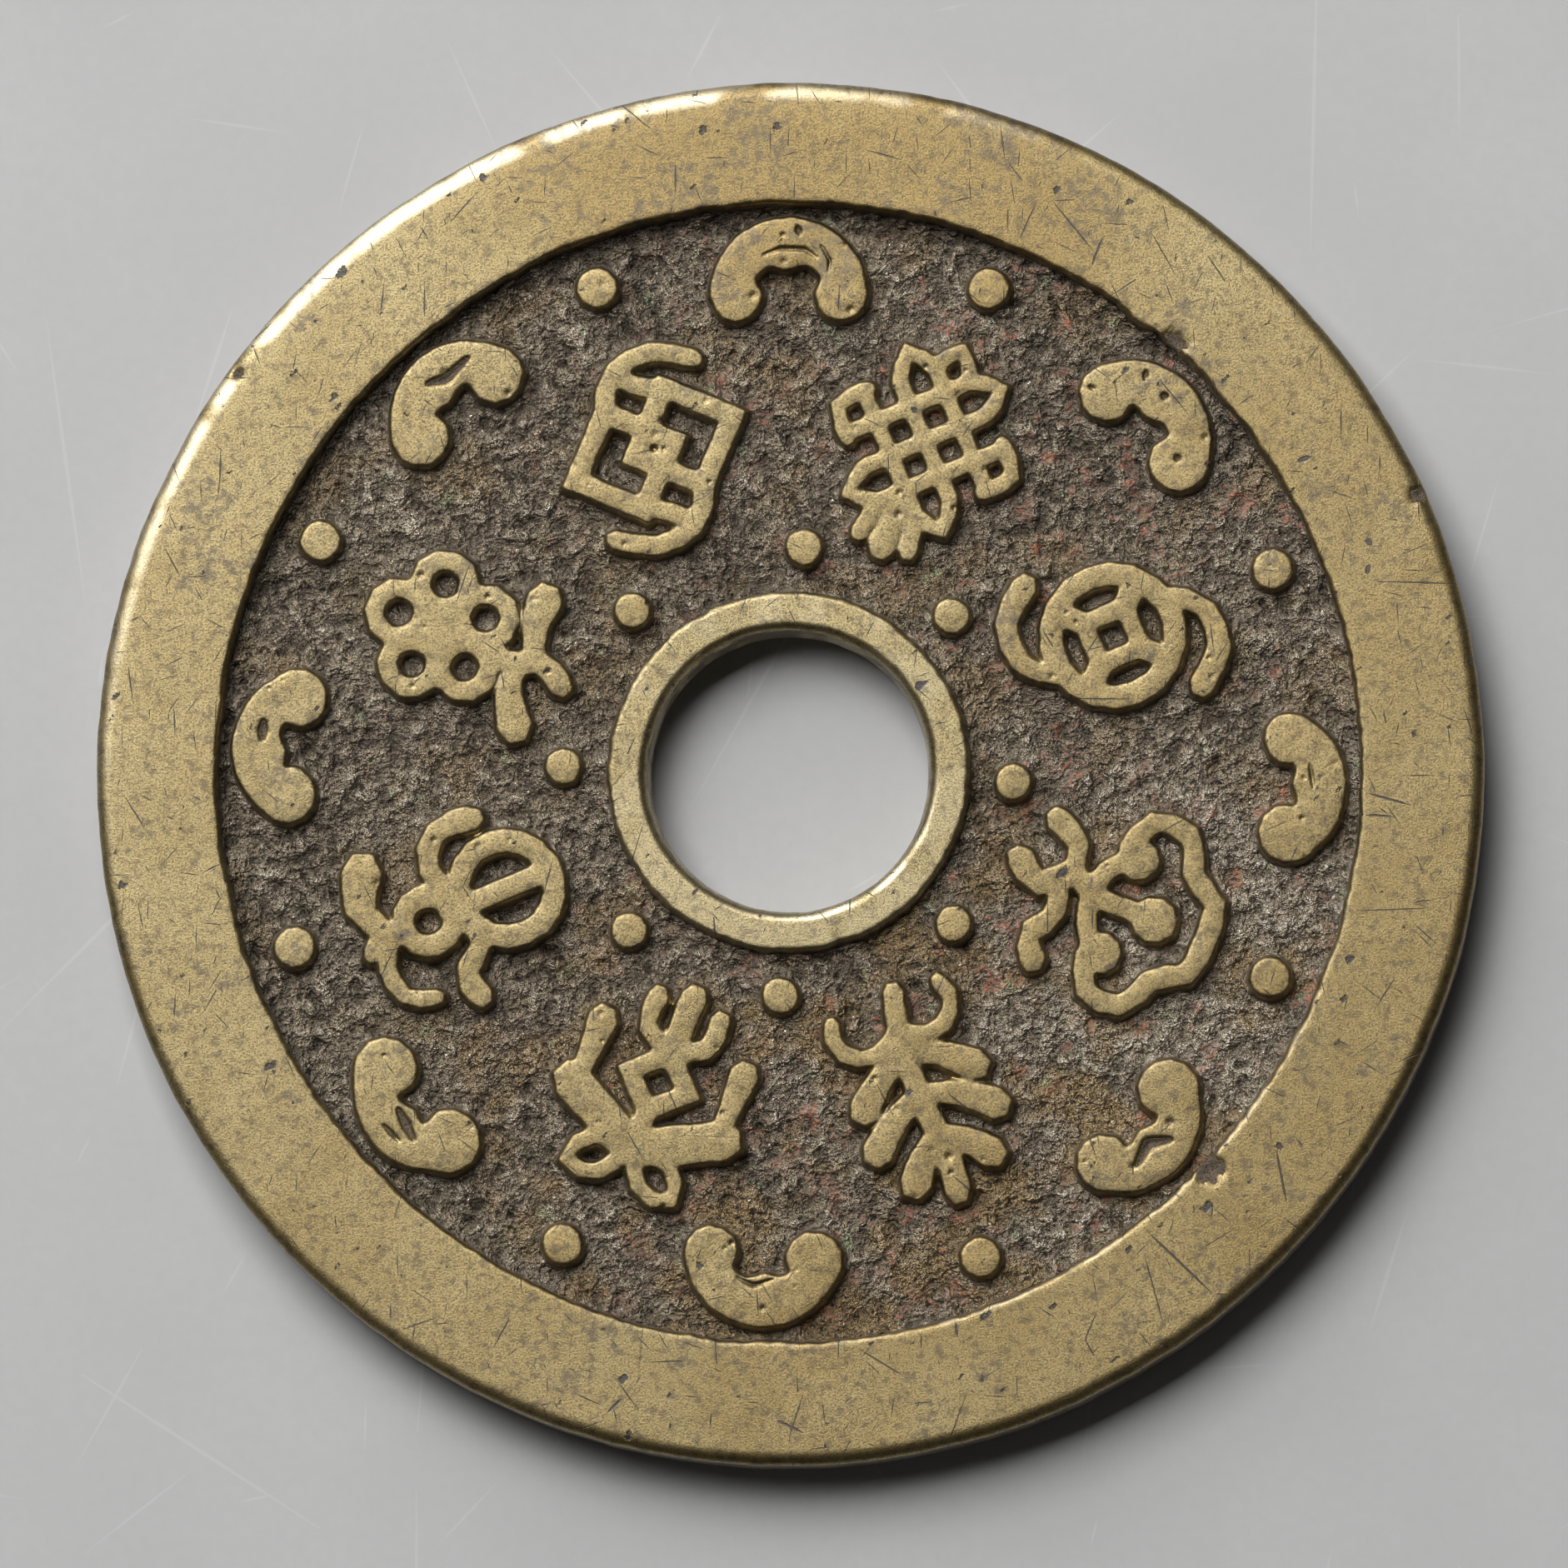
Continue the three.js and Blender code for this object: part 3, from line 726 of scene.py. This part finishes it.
class Shader:
    """A short way to lay out a material's nodes."""

    def __init__(self, name):
        self.material = bpy.data.materials.new(name)
        self.material.use_nodes = True
        self.tree = self.material.node_tree
        self.tree.nodes.clear()

    def add(self, kind, inputs=None, **settings):
        """A node whose inputs are linked where a socket is given and set where a number is."""
        node = self.tree.nodes.new("ShaderNode" + kind)
        for key, value in settings.items():
            setattr(node, key, value)
        for key, value in (inputs or {}).items():
            if isinstance(value, bpy.types.NodeSocket):
                self.tree.links.new(value, node.inputs[key])
            else:
                node.inputs[key].default_value = value
        return node

    def calc(self, operation, a, b=0.0):
        """One step of arithmetic."""
        return self.add("Math", {0: a, 1: b}, operation=operation).outputs[0]

    def between(self, value, low, high, to_low=0.0, to_high=1.0):
        """to_low up to low, to_high from high on and a smooth step between."""
        inputs = {"Value": value, "From Min": low, "From Max": high}
        inputs.update({"To Min": to_low, "To Max": to_high})
        return self.add("MapRange", inputs, interpolation_type="SMOOTHSTEP").outputs["Result"]

    def mix(self, factor, a, b):
        """Two colours mixed."""
        node = self.add("Mix", {0: factor}, data_type="RGBA")
        for socket, value in ((node.inputs[6], a), (node.inputs[7], b)):
            if isinstance(value, bpy.types.NodeSocket):
                self.tree.links.new(value, socket)
            else:
                socket.default_value = (*value, 1)
        return node.outputs[2]

    def blend(self, factor, a, b):
        """Two numbers mixed."""
        return self.add("Mix", {0: factor, 2: a, 3: b}, data_type="FLOAT").outputs[0]

    def place(self, shift=0.0):
        """The spot in millimetres, shifted by as much along each axis."""
        spot = self.add("TexCoord").outputs["Object"]
        inputs = {"Vector": spot, "Scale": (1 / MM, 1 / MM, 1 / MM), "Location": (shift, shift, shift)}
        return self.add("Mapping", inputs).outputs[0]

    def noise(self, size, detail, roughness, shift=0.0):
        """Noise from 0 to 1 whose bumps are about this many millimetres across."""
        inputs = {"Vector": self.place(shift), "Scale": 1 / size}
        inputs.update({"Detail": detail, "Roughness": roughness})
        return self.add("TexNoise", inputs, noise_dimensions="3D").outputs["Fac"]

    def attribute(self, name):
        """A number that the mesh holds at each of its points."""
        return self.add("Attribute", attribute_name=name, attribute_type="GEOMETRY").outputs["Fac"]

    def cells(self, spacing, shift, wander=None):
        """Cells seen from above: the way from a cell's middle, its length, and three random numbers."""
        spot = self.place(shift)
        if wander is not None:
            spot = self.add("VectorMath", {0: spot, 1: wander}, operation="ADD").outputs[0]
        inputs = {"Vector": spot, "Scale": 1 / spacing}
        cells = self.add("TexVoronoi", inputs, feature="F1", voronoi_dimensions="2D").outputs
        away = self.add("VectorMath", {0: spot, 1: cells["Position"]}, operation="SUBTRACT").outputs[0]
        pick = self.add("SeparateColor", {"Color": cells["Color"]}).outputs
        return away, self.calc("MULTIPLY", cells["Distance"], spacing), pick

    def pits(self, spacing, largest, share, shift, wander):
        """Pits of many sizes: one for a share of the cells."""
        _, distance, pick = self.cells(spacing, shift, wander)
        size = self.between(pick[0], 1 - share, 1, HAIR, largest)
        return self.between(self.calc("DIVIDE", distance, size), 0.5, 1.1, 1.0, 0.0)

    def scratches(self, spacing, wide, share, shift, bearing=0.0, spread=math.pi):
        """Thin straight scratches: one for a share of the cells, as long as the cell allows."""
        away, distance, pick = self.cells(spacing, shift)
        angle = self.between(pick[1], 0, 1, bearing - spread / 2, bearing + spread / 2)
        inputs = {"Vector": away, "Angle": angle}
        turned = self.add("VectorRotate", inputs, rotation_type="Z_AXIS").outputs[0]
        across = self.calc("ABSOLUTE", self.add("SeparateXYZ", {0: turned}).outputs[1])
        length = self.between(pick[2], 0, 1, 0.15 * spacing, 0.75 * spacing)
        taper = self.between(distance, 0.0, length, wide, HAIR)
        line = self.between(self.calc("DIVIDE", across, taper), 0.6, 1.3, 1.0, 0.0)
        return self.calc("MULTIPLY", line, self.calc("GREATER_THAN", pick[0], 1 - share))

    def line(self, start, end, wide):
        """One straight scratch between two points in millimetres, fading to its ends."""
        length = math.dist(start, end)
        ahead = [(b - a) / length for a, b in zip(start, end)] + [0]
        spot = self.add("VectorMath", {0: self.place(), 1: (*start, 0)}, operation="SUBTRACT").outputs[0]
        along = self.add("VectorMath", {0: spot, 1: ahead}, operation="DOT_PRODUCT").outputs["Value"]
        aside = (-ahead[1], ahead[0], 0)
        across = self.add("VectorMath", {0: spot, 1: aside}, operation="DOT_PRODUCT").outputs["Value"]
        middle = self.calc("ABSOLUTE", self.calc("SUBTRACT", along, length / 2))
        taper = self.between(middle, 0.2 * length, length / 2, wide, HAIR)
        off_line = self.calc("DIVIDE", self.calc("ABSOLUTE", across), taper)
        return self.between(off_line, 0.6, 1.3, 1.0, 0.0)

    def finish(self, colour, metallic, roughness, height, coat=0.0):
        """The material's surface, with bumps of a height in millimetres."""
        bump = self.add("Bump", {"Strength": 1.0, "Distance": MM, "Height": height})
        surface = self.add("BsdfPrincipled", {
            "Base Color": colour, "Metallic": metallic, "Roughness": roughness,
            "Normal": bump.outputs[0], "Coat Normal": bump.outputs[0],
            "Coat Weight": coat, "Coat Roughness": FILM_ROUGHNESS, "Coat IOR": FILM_IOR,
        })
        self.add("OutputMaterial", {"Surface": surface.outputs[0]})
        return self.material


# Colours, as linear red, green and blue

# Bare pale brass, for polish and for the painted highlight on lit edges
BRASS_BARE_AND_HIGHLIGHT = (0.80, 0.70, 0.48)
BRASS_DARK = (0.105, 0.074, 0.034)
BRASS = (0.29, 0.200, 0.060)
BRASS_PALE = (0.385, 0.306, 0.136)
STAIN = (0.105, 0.082, 0.051)
PIT = (0.03, 0.023, 0.016)
SOOT = (0.022, 0.017, 0.012)
SKIN_DARK = (0.125, 0.104, 0.077)
SKIN = (0.285, 0.238, 0.178)
# Pale dust, and painted glints on the tops of the field's bumps
SKIN_DUST_AND_GLINT = (0.56, 0.495, 0.395)
WALL_SKIN = (0.24, 0.175, 0.115)
RUST = (0.42, 0.14, 0.075)
OCHRE = (0.26, 0.177, 0.077)
VERDIGRIS = (0.27, 0.32, 0.19)
FLECK = (0.62, 0.58, 0.50)
FLOOR_DARK = (0.52, 0.52, 0.518)
FLOOR_PALE = (0.56, 0.56, 0.557)
FLOOR_GRAIN = (0.48, 0.48, 0.478)
FLOOR_HAIRLINE = (0.68, 0.68, 0.677)

# The width of the grain of each material, in millimetres
SPECKLE = 0.068
MOTTLE = 0.42
SAND = 0.17
SKIN_PATCH = 0.7
FLOOR_CLOUD = 14.0
FLOOR_SPECK = 0.5

# How deep the material's pits and scratches are
PIT_HOLLOW = 0.018
MARK_HOLLOW = 0.01

SKIN_ROUGHNESS = 0.27

# The longest scratches on the rim and a few dents: their ends and how wide they are, in millimetres
SCRATCHES = [
    ((12.74, -16.50), (15.32, -18.99), 0.041),
    ((17.49, -13.58), (17.91, -15.77), 0.038),
    ((12.74, -17.34), (13.49, -20.11), 0.021),
    ((9.00, 20.65), (8.29, 19.14), 0.022),
    ((9.40, 20.77), (11.11, 18.66), 0.022),
    ((11.41, 19.44), (10.90, 18.15), 0.038),
    ((13.10, 19.44), (14.00, 17.85), 0.019),
    ((20.74, -0.86), (22.42, -1.34), 0.038),
    ((20.68, -1.67), (21.79, -1.73), 0.038),
    ((20.35, -5.13), (23.11, -5.04), 0.019),
    ((2.39, -20.74), (4.20, -21.85), 0.022),
    ((6.00, -19.83), (6.06, -20.43), 0.045),
    ((-5.94, -22.54), (-6.54, -23.14), 0.053),
    ((-0.47, -23.35), (0.59, -23.86), 0.045),
    ((20.80, 8.35), (21.00, 8.05), 0.112),
    ((20.90, 7.40), (20.85, 7.00), 0.098),
    ((18.30, 11.10), (18.85, 11.30), 0.098),
]


def brass_metal():
    """Worn brass where the mesh's number 'worn' is 1, the dark cast skin where it is 0."""
    shader = Shader("worn_brass")
    worn = shader.attribute("worn")
    polish_and_highlight = shader.attribute("polish_and_highlight")
    speckle = shader.noise(SPECKLE, 3, 0.8)
    mottle = shader.noise(MOTTLE, 5, 0.72, shift=9.0)
    # The brass's own tone, with painted light towards the upper left
    tone_and_painted_light = shader.mix(shader.attribute("tone_and_painted_light"), BRASS, BRASS_PALE)
    tone_and_painted_light = shader.mix(shader.between(speckle, 0.45, 0.61, 0.0, 0.8), tone_and_painted_light, BRASS_DARK)
    tone_and_painted_light = shader.mix(shader.between(mottle, 0.48, 0.64, 0.0, 0.65), tone_and_painted_light, BRASS_DARK)
    # Painted highlight and polish: pale bare brass where the edges are polished, most on their lit side
    tone_and_painted_light = shader.mix(shader.between(polish_and_highlight, 0.3, 1.0, 0.0, 0.55), tone_and_painted_light, BRASS_BARE_AND_HIGHLIGHT)
    stained = shader.calc("ADD", mottle, shader.between(shader.attribute("stain"), 0, 1, -0.04, 0.15))
    tone_and_painted_light = shader.mix(shader.between(stained, 0.53, 0.73, 0.0, 0.55), tone_and_painted_light, STAIN)
    wander = shader.between(mottle, 0.3, 0.7, -0.12, 0.12)
    large_pits = shader.pits(2.6, 0.19, 0.4, 3.0, wander)
    small_pits = shader.pits(0.8, 0.075, 0.25, 5.0, wander)
    pits = shader.calc("MAXIMUM", large_pits, small_pits)
    large_nicks = shader.scratches(1.5, 0.024, 0.2, 13.0)
    small_nicks = shader.scratches(0.9, 0.016, 0.45, 23.0)
    nicks = shader.calc("MAXIMUM", large_nicks, small_nicks)
    strokes = shader.scratches(4.0, 0.026, 0.6, 17.0, 2.4, 1.6)
    marks = shader.calc("MAXIMUM", nicks, shader.calc("MULTIPLY", strokes, shader.attribute("scuff")))
    for start, end, wide in SCRATCHES:
        marks = shader.calc("MAXIMUM", marks, shader.line(start, end, wide))
    brass = shader.mix(shader.calc("MAXIMUM", pits, shader.calc("MULTIPLY", marks, 0.93)), tone_and_painted_light, PIT)
    skin = shader.mix(shader.between(speckle, 0.36, 0.60), SOOT, WALL_SKIN)
    uneven = shader.between(speckle, 0.2, 0.8, 0.2, -0.2)
    rubbed = shader.between(shader.calc("ADD", worn, uneven), 0.38, 0.62)
    colour = shader.mix(rubbed, skin, brass)
    sunk = shader.calc("MULTIPLY", shader.calc("MAXIMUM", pits, marks), rubbed)
    metal = shader.calc("SUBTRACT", shader.blend(rubbed, 0.25, 1.0), shader.calc("MULTIPLY", sunk, 0.6))
    matt = shader.between(speckle, 0.3, 0.7, 0.37, 0.49)
    smooth = shader.between(speckle, 0.3, 0.7, 0.22, 0.32)
    bare = shader.blend(shader.between(polish_and_highlight, 0.5, 1.0), matt, smooth)
    rough = shader.blend(rubbed, 0.5, bare)
    pit_hollow = shader.calc("MULTIPLY", pits, PIT_HOLLOW)
    hollow = shader.calc("ADD", pit_hollow, shader.calc("MULTIPLY", marks, MARK_HOLLOW))
    grainy = shader.calc("MULTIPLY", speckle, shader.blend(rubbed, 0.08, 0.012))
    return shader.finish(colour, metal, rough, shader.calc("SUBTRACT", grainy, hollow), coat=FILM)


def skin_metal():
    """The dark skin the sand mould left on the field, with painted glints on its bumps and painted shade
    in its valleys and under the rim.
    """
    shader = Shader("cast_skin")
    glint_dust_and_shade = shader.attribute("glint_dust_and_shade")
    rust = shader.attribute("rust")
    sand = shader.noise(SAND, 3, 0.6)
    broad = shader.noise(SKIN_PATCH, 3, 0.6, shift=4.0)
    skin = shader.mix(shader.between(broad, 0.30, 0.70), SKIN_DARK, SKIN)
    # Dust, and painted glints on the tops of the bumps
    skin = shader.mix(shader.between(glint_dust_and_shade, 0.42, 0.95, 0.0, 0.6), skin, SKIN_DUST_AND_GLINT)
    ochre_share = shader.calc("MULTIPLY", shader.attribute("ochre"), shader.between(sand, 0.28, 0.55))
    skin = shader.mix(ochre_share, skin, OCHRE)
    skin = shader.mix(shader.calc("MULTIPLY", rust, shader.between(sand, 0.44, 0.60)), skin, RUST)
    skin = shader.mix(shader.attribute("green"), skin, VERDIGRIS)
    flecks = shader.pits(0.42, 0.05, 0.12, 43.0, shader.between(sand, 0.3, 0.7, -0.05, 0.05))
    skin = shader.mix(shader.calc("MULTIPLY", flecks, 0.8), skin, FLECK)
    skin = shader.mix(shader.between(sand, 0.29, 0.47, 0.75, 0.0), skin, SOOT)
    # Soot in the valleys, deepened as painted shade, and the rim's painted shadow
    skin = shader.mix(shader.between(glint_dust_and_shade, 0.0, 0.40, 0.8, 0.0), skin, SOOT)
    metal = shader.calc("SUBTRACT", 0.85, shader.calc("MULTIPLY", rust, 0.5))
    bumps = shader.calc("ADD", shader.calc("MULTIPLY", sand, 0.17), shader.calc("MULTIPLY", broad, 0.2))
    return shader.finish(skin, metal, SKIN_ROUGHNESS, bumps)


def floor_material():
    """Pale grey, faintly clouded and crossed by fine pale scratches."""
    shader = Shader("pale_floor")
    cloudy = shader.noise(FLOOR_CLOUD, 4, 0.55)
    fine = shader.noise(FLOOR_SPECK, 4, 0.6, shift=5.0)
    colour = shader.mix(shader.between(cloudy, 0.25, 0.75), FLOOR_DARK, FLOOR_PALE)
    colour = shader.mix(shader.between(fine, 0.3, 0.7, 0.0, 0.25), colour, FLOOR_GRAIN)
    long_lines = shader.scratches(11.0, 0.07, 0.6, 31.0)
    short_lines = shader.scratches(4.5, 0.05, 0.5, 37.0)
    hairlines = shader.calc("MAXIMUM", long_lines, short_lines)
    colour = shader.mix(shader.calc("MULTIPLY", hairlines, 0.3), colour, FLOOR_HAIRLINE)
    inputs = {"Base Color": colour, "Roughness": 0.62, "Specular IOR Level": 0.3}
    surface = shader.add("BsdfPrincipled", inputs)
    shader.add("OutputMaterial", {"Surface": surface.outputs[0]})
    return shader.material


# Building the coin

# The reverse's field is drawn from another part of the random surface
REVERSE_SEED = 57.0

# Each relief has seeds of its own: the first one's, and how far on the next one's are
RELIEF_SEED = 200
RELIEF_SEED_STEP = 20

brass = brass_metal()
skin = skin_metal()
reliefs = [node for node in sorted(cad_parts) if node != BLANK]
middle = (FIELD + REVERSE_FIELD) / 2
make_rim(brass)
make_collar(brass)
make_field("obverse_field", FIELD, middle, reliefs, 0.0, skin)
make_field("reverse_field", REVERSE_FIELD, middle, [], REVERSE_SEED, skin)
for number, relief in enumerate(reliefs):
    make_relief(relief, RELIEF_SEED + RELIEF_SEED_STEP * number, brass)

# Floor, light and camera

# In metres
FLOOR_SIZE = 3.0
LAMP_AWAY = 0.8
LAMP_SIZE = 0.5

WORLD_STRENGTH = 0.006

bpy.ops.mesh.primitive_plane_add(size=FLOOR_SIZE)
floor = bpy.context.object
floor.name = "floor"
floor.data.materials.append(floor_material())

scene = bpy.context.scene
scene.view_settings.view_transform = "Standard"

world = bpy.data.worlds.new("studio")
scene.world = world
world.use_nodes = True
world.node_tree.nodes["Background"].inputs["Color"].default_value = (1, 1, 1, 1)
world.node_tree.nodes["Background"].inputs["Strength"].default_value = WORLD_STRENGTH


def add_lamp(name, bearing, elevation, power):
    """A square soft lamp that shines on the coin from a bearing and an elevation in degrees."""
    a, e = math.radians(bearing), math.radians(elevation)
    away = Vector((math.cos(a) * math.cos(e), math.sin(a) * math.cos(e), math.sin(e)))
    lamp = bpy.data.objects.new(name, bpy.data.lights.new(name, "AREA"))
    lamp.data.size = LAMP_SIZE
    lamp.data.energy = power
    lamp.location = away * LAMP_AWAY
    lamp.rotation_mode = "QUATERNION"
    lamp.rotation_quaternion = away.to_track_quat("Z", "Y")
    scene.collection.objects.link(lamp)


# The photograph's light comes from the upper left, and the last three lamps only lift the other sides
add_lamp("key_lamp", bearing=120, elevation=58, power=6.2)
add_lamp("low_lamp", bearing=121, elevation=24, power=2.4)
add_lamp("far_lamp", bearing=40, elevation=20, power=0.15)
add_lamp("side_lamp", bearing=215, elevation=20, power=0.15)
add_lamp("near_lamp", bearing=318, elevation=20, power=0.13)

# The photograph's view: nearly straight down, from a little below and to the right.
# The frame shows this width at the height of the coin's top.

FRAME_WIDTH = 56.4
CAMERA_AWAY = 700.0
CAMERA_TILT = math.radians(6.1)
CAMERA_SIDE = math.radians(25)
AIM = Vector((-0.16, -0.46, THICKNESS))

# In metres
CLIP_START = 0.01
CLIP_END = 10

camera = bpy.data.objects.new("camera", bpy.data.cameras.new("camera"))
scene.collection.objects.link(camera)
scene.camera = camera
towards = Vector((math.sin(CAMERA_SIDE) * math.sin(CAMERA_TILT),
                  -math.cos(CAMERA_SIDE) * math.sin(CAMERA_TILT), math.cos(CAMERA_TILT)))
camera.location = (AIM + towards * CAMERA_AWAY) * MM
right = Vector((0, 1, 0)).cross(towards).normalized()
up = towards.cross(right)
camera.rotation_mode = "QUATERNION"
camera.rotation_quaternion = Matrix((right, up, towards)).transposed().to_quaternion()
camera.data.lens = camera.data.sensor_width * CAMERA_AWAY / FRAME_WIDTH
camera.data.clip_start = CLIP_START
camera.data.clip_end = CLIP_END
